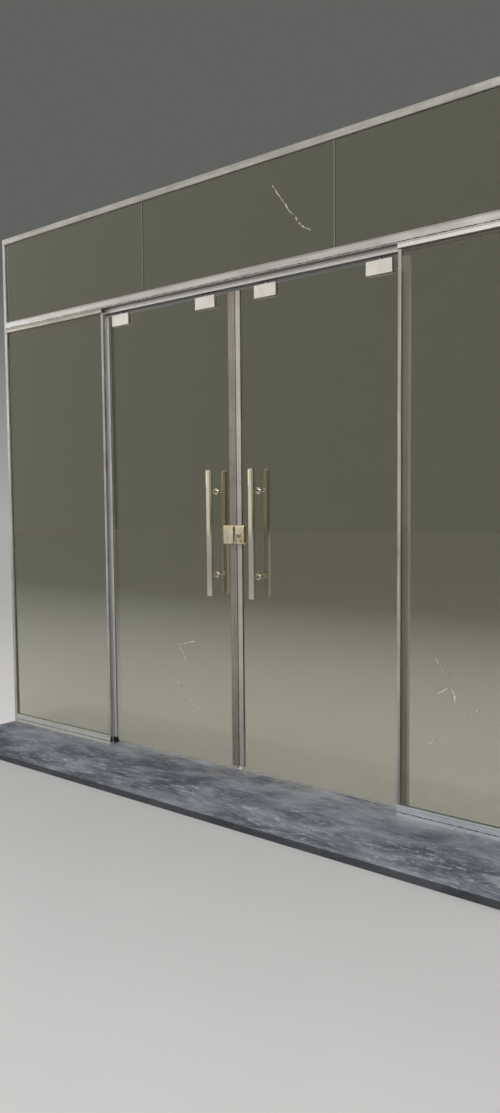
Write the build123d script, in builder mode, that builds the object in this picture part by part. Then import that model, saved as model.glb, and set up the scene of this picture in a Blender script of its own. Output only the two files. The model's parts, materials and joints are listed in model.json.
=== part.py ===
from build123d import *
import os

os.makedirs("parts", exist_ok=True)

# Glass shop front: two fixed panels, two top-hung doors that part behind them, and a transom above.
# X runs along the front, +Y points indoors and Z is up. The origin is in the middle of the front, on the
# plane of the fixed glass, at the underside of the stone threshold. All sizes are in millimetres.

# The whole front
facade_width = 3380
opening_half = 860  # middle of the front to the inner edge of a fixed panel
door_zone_height = 2298  # top of the stone to the underside of the track box
transom_height = 445  # glass that shows between the header rail and the head channel

# Stone threshold
stone_thickness = 30
stone_front = 475
stone_back = 70
stone_nosing = 4

# Fixed glass, and the channels that hold it
glass_thickness = 10
gasket_thickness = 5
gasket_height = 9
gasket_stand = 1  # how far a gasket stands out of its channel
channel_wall = 3
channel_base = 4
channel_face = 6  # thicker outer wall of the top and bottom channels
channel_bead = 2.2
bottom_channel_height = 45
fixed_channel_height = 20
wall_channel_depth = 20
head_channel_height = 30
face_groove_height = 2
face_groove_depth = 1.5
bottom_groove_level = 16
glass_side_gap = 4  # edge of the glass to the web of a wall channel
glass_head_gap = 4  # top of a fixed panel to the web above it
transom_head_cover = 16  # how far the transom stands into the head channel
transom_joint = 3
block_length = 80
block_width = 12
block_height = 5
transom_block_height = 3
block_inset = 180

# Header rail: fascia with the transom pocket, and the track box behind it
header_height = 61
header_wall = 3
fascia_front = 18
fascia_height = 38
fascia_bead = 2.2
header_gasket = 3
transom_pocket_depth = 16
track_width = 48
track_slot = 14
rail_radius = 2.5
rail_offset = 15  # middle of the track to each rail bead

# Header brackets at the wall
bracket_length = 100
bracket_width = 38
bracket_plate = 6
bracket_leg = 5
bracket_hole_radius = 4.5
bracket_hole_spacing = 25
bracket_hole_level = 14

# Fixing holes for the wall and the lintel
fixing_radius = 3.5
wall_fixing_level = 400
wall_fixing_spacing = 1500
head_fixing_spacing = 3000
head_fixing_inner_spacing = 1000

# Screws of the frame
screw_radius = 2.4
screw_head_radius = 4.5
screw_head_height = 3
screw_bite = 18
screw_clearance = 0.2

# Doors
door_overlap = 32  # how far a closed door stands behind its fixed panel
open_door_clearance = 108  # trailing edge of an open door to the wall
meeting_gap = 4
door_glass_thickness = 10
door_floor_gap = 18
door_head_gap = 18
lead_stile_left_width = 40
lead_stile_right_width = 26
trail_stile_width = 40
stile_depth = 22
stile_web = 10  # outer face of a stile to the end of its glass slot
stile_glass_gap = 1
stile_edge_radius = 2
stile_floor_gap = 32
seat_clearance = 0.3
seal_groove_width = 7
seal_groove_depth = 5
seal_nose_half = 5
seal_clearance = 0.3

# Edge profiles on the inner edges of the fixed panels, with the brush seals behind them
edge_profile_width = 15
edge_profile_wall = 2
edge_profile_radius = 0.8
edge_profile_clearance = 0.3
edge_seal_width = 8
edge_seal_base = 3
edge_seal_fin = 3
edge_seal_end_gap = 8

# Hanger clamps, carriages and wheels
clamp_length = 120
clamp_height = 58
clamp_plate = 12
clamp_pad = 1
clamp_above_glass = 4
clamp_edge_radius = 1.5
clamp_from_meeting = 178  # middle of the front to the middle of the first clamp
clamp_from_trailing = 135  # trailing edge of the door to the middle of the second clamp
bridge_length = 56
bridge_height = 20
notch_length = 64
notch_depth = 22
clamp_screw_radius = 4
clamp_screw_head_radius = 7
clamp_screw_head_height = 5
clamp_screw_socket = 5
clamp_screw_spacing = 76
clamp_screw_level = 16  # above the lower edge of the clamp
clamp_screw_bite = 9
glass_hole_radius = 7
hanger_bolt_radius = 5
thread_clearance = 0.1
hanger_nut_across = 17
hanger_nut_height = 8
bolt_head_height = 7
bolt_end_gap = 1
carriage_length = 110
carriage_width = 16
carriage_height = 26
carriage_lift = 8  # underside of the track box to the underside of the carriage
carriage_corner = 5
axle_radius = 4
axle_clearance = 0.05
axle_spacing = 70
axle_length = 41
wheel_running_radius = 14
wheel_flange = 2.2
wheel_width = 9
wheel_collar_radius = 7
wheel_collar_width = 2
wheel_groove_radius = 3
rail_clearance = 0.3
stop_length = 30
stop_width = 16
stop_lift = 12
stop_clearance = 0.5

# Floor guides
guide_length = 36
guide_height = 28
guide_wall = 6
guide_base = 6
guide_clearance = 1
guide_inset = 20  # trailing edge of a closed door to the middle of its guide

# Pull bars
pull_length = 600
pull_radius = 16
pull_end_radius = 2
pull_height = 1155
pull_from_middle = 126
pull_reach = 56  # face of the door glass to the middle of the bar
post_spacing = 400
post_radius = 10
post_disc_radius = 15
post_disc_height = 5
stud_radius = 4
stud_hole_radius = 6
stud_bite = 20

# Lock on the right door, keeper on the left one
lock_height = 1150
lock_gap = 4  # middle of the front to the edge of each case
lock_case_width = 56
keeper_width = 62
case_height = 92
case_proud = 26
case_corner_radius = 10
case_edge_radius = 7
case_groove_level = 26  # below the middle of the case
case_groove_height = 2
case_groove_depth = 1.5
case_wall = 3
plug_radius = 6.5
plug_length = 14
plug_clearance = 0.05
plug_inset = 25
plug_level = 6  # below the middle of the case
plug_stand = 1
hook_radius = 36  # axis of the plug to the inside of the hook
hook_width = 6
hook_thickness = 5
hook_tip_angle = 58  # tip of the hook at rest, from the direction of the keeper
hook_arc = 62
hook_arm_lag = 3
hook_clearance = 0.6
hook_side_clearance = 0.3
key_thickness = 2
key_blade_height = 8
key_blade_length = 12
key_bow_radius = 11
key_bow_stand = 3
key_hole_radius = 2.6
key_hole_rim = 2
key_slot_clearance = 0.2
key_ring_radius = 9
key_ring_wire = 0.8
key_ring_clearance = 0.3
spare_blade_length = 28

# Places that follow from the sizes above
floor_z = stone_thickness
header_bottom = floor_z + door_zone_height
header_top = header_bottom + header_height
fascia_bottom = header_top - fascia_height
head_bottom = header_top + transom_height
facade_top = head_bottom + head_channel_height
wall_x = facade_width / 2
channel_end = wall_x - wall_channel_depth
glass_half = glass_thickness / 2
pocket_half = glass_half + gasket_thickness
channel_half = pocket_half + channel_wall
channel_front = pocket_half + channel_face
header_pocket_half = glass_half + header_gasket
track_back = channel_half + track_width
door_y = channel_half + track_width / 2
door_front = door_y - door_glass_thickness / 2
door_back = door_y + door_glass_thickness / 2
stile_front = door_y - stile_depth / 2
meeting_half = meeting_gap / 2
trailing_edge = opening_half + door_overlap
door_travel = wall_x - open_door_clearance - trailing_edge
glass_bottom = floor_z + door_floor_gap
glass_top = header_bottom - door_head_gap
stile_margin = stile_web + stile_glass_gap
clamp_top = glass_top + clamp_above_glass
clamp_bottom = clamp_top - clamp_height
clamp_screw_z = clamp_bottom + clamp_screw_level
clamp_middles = (clamp_from_meeting, trailing_edge - clamp_from_trailing)
rail_top = header_bottom + header_wall + rail_radius
axle_z = rail_top + rail_clearance + wheel_running_radius
carriage_bottom = header_bottom + carriage_lift
carriage_top = carriage_bottom + carriage_height
pull_z = floor_z + pull_height
lock_z = floor_z + lock_height
case_front = stile_front - case_proud
plug_x = lock_gap + plug_inset
plug_z = lock_z - plug_level
hook_front = case_front + plug_length
hook_outer_radius = hook_radius + hook_width
edge_profile_back = glass_half + edge_profile_clearance + edge_profile_wall
sides = (("left", -1), ("right", 1))
lead_stile_widths = {-1: lead_stile_left_width, 1: lead_stile_right_width}


def span(low_u, low_v, high_u, high_v, mode=Mode.ADD):
    """A rectangle of the current sketch, given by two opposite corners."""
    with Locations(((low_u + high_u) / 2, (low_v + high_v) / 2)):
        Rectangle(abs(high_u - low_u), abs(high_v - low_v), mode=mode)


def facing(y):
    """A plane across the front at depth y, with X to the right and Z up; its normal points outdoors."""
    return Plane.XZ.offset(-y)


def keep(piece, label):
    """Names a finished piece and writes it."""
    piece.part.label = label
    export_step(piece.part, f"parts/{label}.step")


# Stone threshold, with the holes for the screws of the channels and guides
channel_screw_places = [
    side * (opening_half + (channel_end - opening_half) * share)
    for side in (-1, 1)
    for share in (1 / 12, 1 / 2, 11 / 12)
]
guide_x = trailing_edge - guide_inset
guide_screw_places = [(-guide_x, door_y), (guide_x, door_y)]
stone_screw_places = [(x, 0) for x in channel_screw_places] + guide_screw_places

with BuildPart() as stone_threshold:
    with BuildSketch(Plane.YZ.offset(-wall_x)) as stone_section:
        span(-stone_front, 0, stone_back, stone_thickness)
        fillet(stone_section.vertices().group_by(Axis.X)[0].sort_by(Axis.Y)[-1], stone_nosing)
    extrude(amount=facade_width)
    with BuildSketch(Plane.XY.offset(floor_z)):
        with Locations(*stone_screw_places):
            Circle(screw_radius + screw_clearance)
    extrude(amount=-(screw_bite + screw_clearance), mode=Mode.SUBTRACT)
keep(stone_threshold, "stone_threshold")


# Channels under and over the fixed panels
def bottom_channel(side):
    """Channel on the stone that holds the foot of a fixed panel."""
    start = opening_half if side > 0 else -channel_end
    top = floor_z + bottom_channel_height
    with BuildPart() as channel:
        with BuildSketch(Plane.YZ.offset(start)):
            span(-channel_front, floor_z, channel_half, top)
            with Locations((-channel_front, top - channel_bead)):
                Circle(channel_bead)
            span(-pocket_half, floor_z + channel_base, pocket_half, top, Mode.SUBTRACT)
            groove_z = floor_z + bottom_groove_level
            groove_y = -channel_front + face_groove_depth
            span(-channel_front, groove_z, groove_y, groove_z + face_groove_height, Mode.SUBTRACT)
        extrude(amount=channel_end - opening_half)
        with BuildSketch(Plane.XY.offset(floor_z)):
            with Locations(*[(x, 0) for x in channel_screw_places if x * side > 0]):
                Circle(screw_radius + screw_clearance)
        extrude(amount=channel_base, mode=Mode.SUBTRACT)
    return channel


def fixed_top_channel(side):
    """Channel under the header rail that holds the head of a fixed panel."""
    start = opening_half if side > 0 else -channel_end
    low = fascia_bottom - fixed_channel_height
    with BuildPart() as channel:
        with BuildSketch(Plane.YZ.offset(start)):
            span(-channel_front, low, channel_half, fascia_bottom)
            with Locations((-channel_front, fascia_bottom - channel_bead)):
                Circle(channel_bead)
            span(-pocket_half, low, pocket_half, fascia_bottom - channel_base, Mode.SUBTRACT)
        extrude(amount=channel_end - opening_half)
    return channel


for name, side in sides:
    keep(bottom_channel(side), f"bottom_channel_{name}")
    keep(fixed_top_channel(side), f"fixed_top_channel_{name}")


# Wall channels, from the stone to the head channel
def wall_channel(side):
    """Upright channel at the wall, with two fixing holes in its web."""
    web = side * wall_x
    mouth = side * channel_end
    floor_of_pocket = side * (wall_x - channel_wall)
    with BuildPart() as channel:
        with BuildSketch(Plane.XY.offset(floor_z)):
            span(web, -channel_half, mouth, channel_half)
            span(floor_of_pocket, -pocket_half, mouth, pocket_half, Mode.SUBTRACT)
        extrude(amount=head_bottom - floor_z)
        with BuildSketch(Plane.YZ.offset(web)):
            level = floor_z + wall_fixing_level
            with Locations((0, level), (0, level + wall_fixing_spacing)):
                Circle(fixing_radius)
        extrude(amount=-side * channel_wall, mode=Mode.SUBTRACT)
    return channel


for name, side in sides:
    keep(wall_channel(side), f"wall_channel_{name}")

# Head channel over the transom, with four fixing holes in its web
with BuildPart() as head_channel:
    with BuildSketch(Plane.YZ.offset(-wall_x)):
        span(-channel_half, head_bottom, channel_half, facade_top)
        span(-pocket_half, head_bottom, pocket_half, facade_top - channel_wall, Mode.SUBTRACT)
    extrude(amount=facade_width)
    with BuildSketch(Plane.XY.offset(facade_top)):
        for spacing in (head_fixing_spacing, head_fixing_inner_spacing):
            with Locations((-spacing / 2, 0), (spacing / 2, 0)):
                Circle(fixing_radius)
    extrude(amount=-channel_wall, mode=Mode.SUBTRACT)
keep(head_channel, "head_channel")

# Header rail: one extrusion with the transom pocket on top, the fascia in front and the track box behind,
# whose slotted floor carries two half-round rail beads
bracket_screw_places = [
    (side * (channel_end - bracket_length * share), door_y) for side in (-1, 1) for share in (0.25, 0.6)
]

with BuildPart() as header_rail:
    with BuildSketch(Plane.YZ.offset(-channel_end)):
        span(-fascia_front, fascia_bottom, channel_half, header_top)
        with Locations((-fascia_front, header_top - fascia_bead)):
            Circle(fascia_bead)
        span(channel_half, header_bottom, track_back, header_top)
        pocket_floor = header_top - transom_pocket_depth
        span(-header_pocket_half, pocket_floor, header_pocket_half, header_top, Mode.SUBTRACT)
        chamber_front = -fascia_front + header_wall
        chamber_low = fascia_bottom + header_wall
        chamber_high = pocket_floor - header_wall
        span(chamber_front, chamber_low, channel_half - header_wall, chamber_high, Mode.SUBTRACT)
        cavity_low = header_bottom + header_wall
        cavity_high = header_top - header_wall
        span(channel_half + header_wall, cavity_low, track_back - header_wall, cavity_high, Mode.SUBTRACT)
        with Locations((door_y - rail_offset, cavity_low), (door_y + rail_offset, cavity_low)):
            Circle(rail_radius)
        slot_half = track_slot / 2
        span(door_y - slot_half, header_bottom, door_y + slot_half, cavity_low, Mode.SUBTRACT)
        groove_z = fascia_bottom + header_wall
        groove_y = -fascia_front + face_groove_depth
        span(-fascia_front, groove_z, groove_y, groove_z + face_groove_height, Mode.SUBTRACT)
    extrude(amount=2 * channel_end)
    with BuildSketch(Plane.XY.offset(header_top)):
        with Locations(*bracket_screw_places):
            Circle(screw_radius + screw_clearance)
    extrude(amount=-header_wall, mode=Mode.SUBTRACT)
keep(header_rail, "header_rail")

# Header brackets: angles that carry the track box at the wall
with BuildPart() as header_brackets:
    for side in (-1, 1):
        bracket_top = header_top - header_wall
        with BuildSketch(facing(door_y - bracket_width / 2)):
            inner_x = side * (channel_end - bracket_length + wall_channel_depth)
            span(side * wall_x, bracket_top - bracket_leg, inner_x, bracket_top)
            span(side * wall_x, header_bottom, side * (wall_x - bracket_plate), bracket_top)
        extrude(amount=-bracket_width)
    with BuildSketch(Plane.XY.offset(header_top)):
        with Locations(*bracket_screw_places):
            Circle(screw_radius + screw_clearance)
    extrude(amount=-(header_wall + bracket_leg), mode=Mode.SUBTRACT)
    for side in (-1, 1):
        with BuildSketch(Plane.YZ.offset(side * wall_x)):
            level = header_bottom + bracket_hole_level
            with Locations((door_y, level), (door_y, level + bracket_hole_spacing)):
                Circle(bracket_hole_radius)
        extrude(amount=-side * bracket_plate, mode=Mode.SUBTRACT)
keep(header_brackets, "header_brackets")

# Screws: channels and guides into the stone from above, brackets into the header rail from below
bracket_seat = header_top - header_wall - bracket_leg
guide_seat = floor_z + guide_base
channel_seat = floor_z + channel_base

with BuildPart() as frame_screws:
    for x in channel_screw_places:
        with BuildSketch(Plane.XY.offset(channel_seat)):
            with Locations((x, 0)):
                Circle(screw_head_radius)
        extrude(amount=screw_head_height)
        with BuildSketch(Plane.XY.offset(channel_seat)):
            with Locations((x, 0)):
                Circle(screw_radius)
        extrude(amount=-(channel_base + screw_bite))
    for x, y in guide_screw_places:
        with BuildSketch(Plane.XY.offset(guide_seat)):
            with Locations((x, y)):
                Circle(screw_head_radius)
        extrude(amount=screw_head_height)
        with BuildSketch(Plane.XY.offset(guide_seat)):
            with Locations((x, y)):
                Circle(screw_radius)
        extrude(amount=-(guide_base + screw_bite))
    for x, y in bracket_screw_places:
        with BuildSketch(Plane.XY.offset(bracket_seat)):
            with Locations((x, y)):
                Circle(screw_head_radius)
        extrude(amount=-screw_head_height)
        with BuildSketch(Plane.XY.offset(bracket_seat)):
            with Locations((x, y)):
                Circle(screw_radius)
        extrude(amount=bracket_leg + header_wall)
keep(frame_screws, "frame_screws")

# Fixed glass and transom glass
pane_outer = wall_x - channel_wall - glass_side_gap
fixed_foot = floor_z + channel_base + block_height
fixed_head = fascia_bottom - channel_base - glass_head_gap
transom_foot = header_top - transom_pocket_depth + transom_block_height
transom_head = head_bottom + transom_head_cover
transom_pane_width = (2 * pane_outer - 2 * transom_joint) / 3
transom_pitch = transom_pane_width + transom_joint

for name, side in sides:
    with BuildPart() as fixed_glass:
        with BuildSketch(facing(glass_half)):
            span(side * opening_half, fixed_foot, side * pane_outer, fixed_head)
        extrude(amount=glass_thickness)
    keep(fixed_glass, f"fixed_glass_{name}")

for name, place in (("left", -1), ("middle", 0), ("right", 1)):
    with BuildPart() as transom_glass:
        with BuildSketch(facing(glass_half)):
            low_x = place * transom_pitch - transom_pane_width / 2
            span(low_x, transom_foot, low_x + transom_pane_width, transom_head)
        extrude(amount=glass_thickness)
    keep(transom_glass, f"transom_glass_{name}")

with BuildPart() as transom_joint_seals:
    with BuildSketch(facing(glass_half)):
        for place in (-1, 1):
            joint_x = place * transom_pitch / 2
            half_joint = transom_joint / 2
            span(joint_x - half_joint, header_top, joint_x + half_joint, head_bottom)
    extrude(amount=glass_thickness)
keep(transom_joint_seals, "transom_joint_seals")

# Setting blocks under the panes
with BuildPart() as setting_blocks:
    with BuildSketch(Plane.XY.offset(floor_z + channel_base)):
        for side in (-1, 1):
            middle = side * (opening_half + pane_outer) / 2
            reach = (pane_outer - opening_half) / 2 - block_inset
            with Locations((middle - reach, 0), (middle + reach, 0)):
                Rectangle(block_length, block_width)
    extrude(amount=block_height)
    with BuildSketch(Plane.XY.offset(header_top - transom_pocket_depth)):
        for place in (-1, 0, 1):
            reach = transom_pane_width / 2 - block_inset
            with Locations((place * transom_pitch - reach, 0), (place * transom_pitch + reach, 0)):
                Rectangle(block_length, block_width)
    extrude(amount=transom_block_height)
keep(setting_blocks, "setting_blocks")

# Glazing gaskets, outdoors and indoors of every glazed edge
with BuildPart() as glazing_gaskets:
    for side in (-1, 1):
        low_x = opening_half if side > 0 else -channel_end
        with BuildSketch(Plane.YZ.offset(low_x)):
            for face in (-1, 1):
                bottom_mouth = floor_z + bottom_channel_height
                head_mouth = fascia_bottom - fixed_channel_height
                low, high = bottom_mouth - gasket_height, bottom_mouth + gasket_stand
                span(face * glass_half, low, face * pocket_half, high)
                low, high = head_mouth - gasket_stand, head_mouth + gasket_height
                span(face * glass_half, low, face * pocket_half, high)
        extrude(amount=channel_end - opening_half)
    with BuildSketch(Plane.YZ.offset(-channel_end)):
        for face in (-1, 1):
            low, high = header_top - gasket_height, header_top + gasket_stand
            span(face * glass_half, low, face * header_pocket_half, high)
            low, high = head_bottom - gasket_stand, head_bottom + gasket_height
            span(face * glass_half, low, face * pocket_half, high)
    extrude(amount=2 * channel_end)
    for foot, head in (
        (floor_z + bottom_channel_height + gasket_stand, fascia_bottom - fixed_channel_height - gasket_stand),
        (header_top + gasket_stand, head_bottom - gasket_stand),
    ):
        with BuildSketch(Plane.XY.offset(foot)):
            for side in (-1, 1):
                for face in (-1, 1):
                    inner_x = side * (channel_end - gasket_stand)
                    outer_x = side * (channel_end + gasket_height)
                    span(inner_x, face * glass_half, outer_x, face * pocket_half)
        extrude(amount=head - foot)
keep(glazing_gaskets, "glazing_gaskets")

# Edge profiles: slim channels over the inner edges of the fixed panels, between the glazing channels
edge_profile_foot = floor_z + bottom_channel_height + gasket_stand
edge_profile_head = fascia_bottom - fixed_channel_height - gasket_stand

with BuildPart() as edge_profiles:
    with BuildSketch(Plane.XY.offset(edge_profile_foot)) as edge_section:
        for side in (-1, 1):
            outer_x = side * (opening_half - edge_profile_clearance - edge_profile_wall)
            span(outer_x, -edge_profile_back, outer_x + side * edge_profile_width, edge_profile_back)
        fillet(edge_section.vertices(), edge_profile_radius)
        for side in (-1, 1):
            slot_half = glass_half + edge_profile_clearance
            web_x = side * (opening_half - edge_profile_clearance)
            mouth_x = web_x + side * (edge_profile_width - edge_profile_wall)
            span(web_x, -slot_half, mouth_x, slot_half, Mode.SUBTRACT)
    extrude(amount=edge_profile_head - edge_profile_foot)
keep(edge_profiles, "edge_profiles")

# Brush seals behind the edge profiles, which close the gap to the doors
edge_seal_top = clamp_bottom - edge_seal_end_gap

with BuildPart() as fixed_edge_seals:
    with BuildSketch(Plane.XY.offset(edge_profile_foot)):
        for side in (-1, 1):
            middle_x = side * (opening_half + edge_seal_width / 2)
            base_y = edge_profile_back + edge_seal_base
            half_base, half_fin = edge_seal_width / 2, edge_seal_fin / 2
            span(middle_x - half_base, edge_profile_back, middle_x + half_base, base_y)
            span(middle_x - half_fin, base_y, middle_x + half_fin, stile_front - seal_clearance)
    extrude(amount=edge_seal_top - edge_profile_foot)
keep(fixed_edge_seals, "fixed_edge_seals")

# Floor guides: grooved blocks that the feet of the doors run in
with BuildPart() as floor_guides:
    for side in (-1, 1):
        with BuildSketch(Plane.YZ.offset(side * guide_x - guide_length / 2)):
            groove_half = door_glass_thickness / 2 + guide_clearance
            outer_half = groove_half + guide_wall
            span(door_y - outer_half, floor_z, door_y + outer_half, floor_z + guide_height)
            span(door_y - groove_half, guide_seat, door_y + groove_half, floor_z + guide_height, Mode.SUBTRACT)
        extrude(amount=guide_length)
    with BuildSketch(Plane.XY.offset(floor_z)):
        with Locations(*guide_screw_places):
            Circle(screw_radius + screw_clearance)
    extrude(amount=guide_base, mode=Mode.SUBTRACT)
keep(floor_guides, "floor_guides")

# Stops in the track, where the trailing carriages end their run
stop_start = clamp_middles[1] + door_travel + carriage_length / 2 + stop_clearance

with BuildPart() as track_stops:
    with BuildSketch(Plane.XY.offset(header_bottom + stop_lift)):
        for side in (-1, 1):
            with Locations((side * (stop_start + stop_length / 2), door_y)):
                Rectangle(stop_length, stop_width)
    extrude(amount=header_height - header_wall - stop_lift)
keep(track_stops, "track_stops")


# Doors
def door_glass(side):
    """Door pane with notches for the clamp bridges and holes for the clamp screws and the pull posts."""
    with BuildPart() as pane:
        with BuildSketch(facing(door_back)):
            leading = side * (meeting_half + stile_margin)
            trailing = side * (trailing_edge - stile_margin)
            span(leading, glass_bottom, trailing, glass_top)
            for middle in clamp_middles:
                half_notch = notch_length / 2
                low_x, high_x = side * middle - half_notch, side * middle + half_notch
                span(low_x, glass_top - notch_depth, high_x, glass_top, Mode.SUBTRACT)
                with Locations((side * middle, clamp_screw_z)):
                    with GridLocations(clamp_screw_spacing, 0, 2, 1):
                        Circle(glass_hole_radius, mode=Mode.SUBTRACT)
            with Locations((side * pull_from_middle, pull_z)):
                with GridLocations(0, post_spacing, 1, 2):
                    Circle(stud_hole_radius, mode=Mode.SUBTRACT)
        extrude(amount=door_glass_thickness)
    return pane


def stile(outer_x, inner_x, grooved):
    """Edge profile of a door, between its outer face and the face on the glass side."""
    towards_glass = 1 if inner_x > outer_x else -1
    with BuildPart() as profile:
        with BuildSketch(Plane.XY.offset(floor_z + stile_floor_gap)) as section:
            span(outer_x, stile_front, inner_x, stile_front + stile_depth)
            fillet(section.vertices(), stile_edge_radius)
            slot_half = door_glass_thickness / 2 + seat_clearance
            slot_end = outer_x + towards_glass * stile_web
            span(slot_end, door_y - slot_half, inner_x, door_y + slot_half, Mode.SUBTRACT)
            if grooved:
                groove_half = seal_groove_width / 2
                groove_end = outer_x + towards_glass * seal_groove_depth
                span(outer_x, door_y - groove_half, groove_end, door_y + groove_half, Mode.SUBTRACT)
        extrude(amount=glass_top - floor_z - stile_floor_gap)
    return profile


def clamp_fronts(side):
    """Front plates of a door's hanger clamps, with blind threads for the clamp screws."""
    with BuildPart() as plates:
        for middle in clamp_middles:
            with BuildSketch(facing(door_front - clamp_pad)):
                with Locations((side * middle, clamp_top - clamp_height / 2)):
                    RectangleRounded(clamp_length, clamp_height, clamp_edge_radius)
            extrude(amount=clamp_plate)
        fillet(plates.faces().group_by(Axis.Y)[0].edges(), clamp_edge_radius / 2)
        for middle in clamp_middles:
            with BuildSketch(facing(door_front - clamp_pad)):
                with Locations((side * middle, clamp_screw_z)):
                    with GridLocations(clamp_screw_spacing, 0, 2, 1):
                        Circle(clamp_screw_radius + thread_clearance)
            extrude(amount=clamp_screw_bite, mode=Mode.SUBTRACT)
    return plates


def clamp_backs(side):
    """Back plates of a door's hanger clamps, each with a bridge over the glass that takes the hanger bolt."""
    plate_face = door_back + clamp_pad
    with BuildPart() as plates:
        for middle in clamp_middles:
            with BuildSketch(facing(plate_face)):
                with Locations((side * middle, clamp_top - clamp_height / 2)):
                    RectangleRounded(clamp_length, clamp_height, clamp_edge_radius)
            extrude(amount=-clamp_plate)
        fillet(plates.faces().group_by(Axis.Y)[-1].edges(), clamp_edge_radius / 2)
        for middle in clamp_middles:
            with BuildSketch(facing(plate_face)):
                half_bridge = bridge_length / 2
                low_x, high_x = side * middle - half_bridge, side * middle + half_bridge
                span(low_x, clamp_top - bridge_height, high_x, clamp_top)
            extrude(amount=door_glass_thickness + 2 * clamp_pad)
            with BuildSketch(facing(plate_face)):
                with Locations((side * middle, clamp_screw_z)):
                    with GridLocations(clamp_screw_spacing, 0, 2, 1):
                        Circle(clamp_screw_radius + thread_clearance)
            extrude(amount=-clamp_plate, mode=Mode.SUBTRACT)
            with BuildSketch(Plane.XY.offset(clamp_top)):
                with Locations((side * middle, door_y)):
                    Circle(hanger_bolt_radius + thread_clearance)
            extrude(amount=-bridge_height, mode=Mode.SUBTRACT)
    return plates


def clamp_pads(side):
    """Rubber pads between the clamp plates and the glass, clear of the bridge."""
    with BuildPart() as pads:
        for face in (door_front, door_back + clamp_pad):
            for middle in clamp_middles:
                with BuildSketch(facing(face)):
                    half_pad = clamp_length / 2 - clamp_edge_radius
                    low_x, high_x = side * middle - half_pad, side * middle + half_pad
                    span(low_x, clamp_bottom + clamp_edge_radius, high_x, glass_top - notch_depth)
                    with Locations((side * middle, clamp_screw_z)):
                        with GridLocations(clamp_screw_spacing, 0, 2, 1):
                            Circle(glass_hole_radius, mode=Mode.SUBTRACT)
                extrude(amount=clamp_pad)
    return pads


def clamp_screws(side):
    """Socket screws that draw the clamp plates together, from indoors."""
    head_face = door_back + clamp_pad + clamp_plate
    shank = clamp_plate + 2 * clamp_pad + door_glass_thickness + clamp_screw_bite - thread_clearance
    with BuildPart() as screws:
        for middle in clamp_middles:
            with Locations(facing(head_face)):
                with Locations((side * middle, clamp_screw_z)):
                    with GridLocations(clamp_screw_spacing, 0, 2, 1):
                        Cylinder(clamp_screw_radius, shank, align=(Align.CENTER, Align.CENTER, Align.MIN))
                        Cylinder(
                            clamp_screw_head_radius,
                            clamp_screw_head_height,
                            align=(Align.CENTER, Align.CENTER, Align.MAX),
                        )
        for middle in clamp_middles:
            with BuildSketch(facing(head_face + clamp_screw_head_height)):
                with Locations((side * middle, clamp_screw_z)):
                    with GridLocations(clamp_screw_spacing, 0, 2, 1):
                        RegularPolygon(clamp_screw_socket / 2, 6, major_radius=False)
            extrude(amount=clamp_screw_head_height / 2, mode=Mode.SUBTRACT)
    return screws


def hanger_bolts(side):
    """Bolts from the carriages down into the clamp bridges, with lock nuts on the clamps."""
    bolt_bottom = clamp_top - bridge_height + bolt_end_gap
    with BuildPart() as bolts:
        for middle in clamp_middles:
            with BuildSketch(Plane.XY.offset(bolt_bottom)):
                with Locations((side * middle, door_y)):
                    Circle(hanger_bolt_radius)
            extrude(amount=carriage_top - bolt_bottom)
            with BuildSketch(Plane.XY.offset(carriage_top)):
                with Locations((side * middle, door_y)):
                    RegularPolygon(hanger_nut_across / 2, 6, major_radius=False)
            extrude(amount=bolt_head_height)
            with BuildSketch(Plane.XY.offset(clamp_top)):
                with Locations((side * middle, door_y)):
                    RegularPolygon(hanger_nut_across / 2, 6, major_radius=False)
                    Circle(hanger_bolt_radius + thread_clearance, mode=Mode.SUBTRACT)
            extrude(amount=hanger_nut_height)
    return bolts


def carriages(side):
    """Carriage bodies in the track box, each bored for two axles and the hanger bolt."""
    with BuildPart() as bodies:
        for middle in clamp_middles:
            with BuildSketch(facing(door_y + carriage_width / 2)):
                with Locations((side * middle, carriage_bottom + carriage_height / 2)):
                    RectangleRounded(carriage_length, carriage_height, carriage_corner)
                with Locations((side * middle, axle_z)):
                    with GridLocations(axle_spacing, 0, 2, 1):
                        Circle(axle_radius + axle_clearance, mode=Mode.SUBTRACT)
            extrude(amount=carriage_width)
            with BuildSketch(Plane.XY.offset(carriage_bottom)):
                with Locations((side * middle, door_y)):
                    Circle(hanger_bolt_radius + thread_clearance)
            extrude(amount=carriage_height, mode=Mode.SUBTRACT)
    return bodies


def wheel_set(axle_x):
    """An axle with a grooved wheel at each end that runs on the rail beads."""
    tread_radius = wheel_running_radius + wheel_flange
    axle = Axis((axle_x, door_y, axle_z), (0, 1, 0))
    with BuildPart() as wheels:
        with BuildSketch(Plane.YZ.offset(axle_x)):
            span(door_y - axle_length / 2, axle_z, door_y + axle_length / 2, axle_z + axle_radius)
            for face in (-1, 1):
                wheel_y = door_y + face * rail_offset
                half_wheel = wheel_width / 2
                span(wheel_y - half_wheel, axle_z, wheel_y + half_wheel, axle_z + tread_radius)
                wheel_inner = wheel_y - face * half_wheel
                collar_end = wheel_inner - face * wheel_collar_width
                span(collar_end, axle_z, wheel_inner, axle_z + wheel_collar_radius)
                groove_middle = axle_z + wheel_running_radius + wheel_groove_radius
                with Locations((wheel_y, groove_middle)):
                    Circle(wheel_groove_radius, mode=Mode.SUBTRACT)
        revolve(axis=axle)
    return wheels


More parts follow.
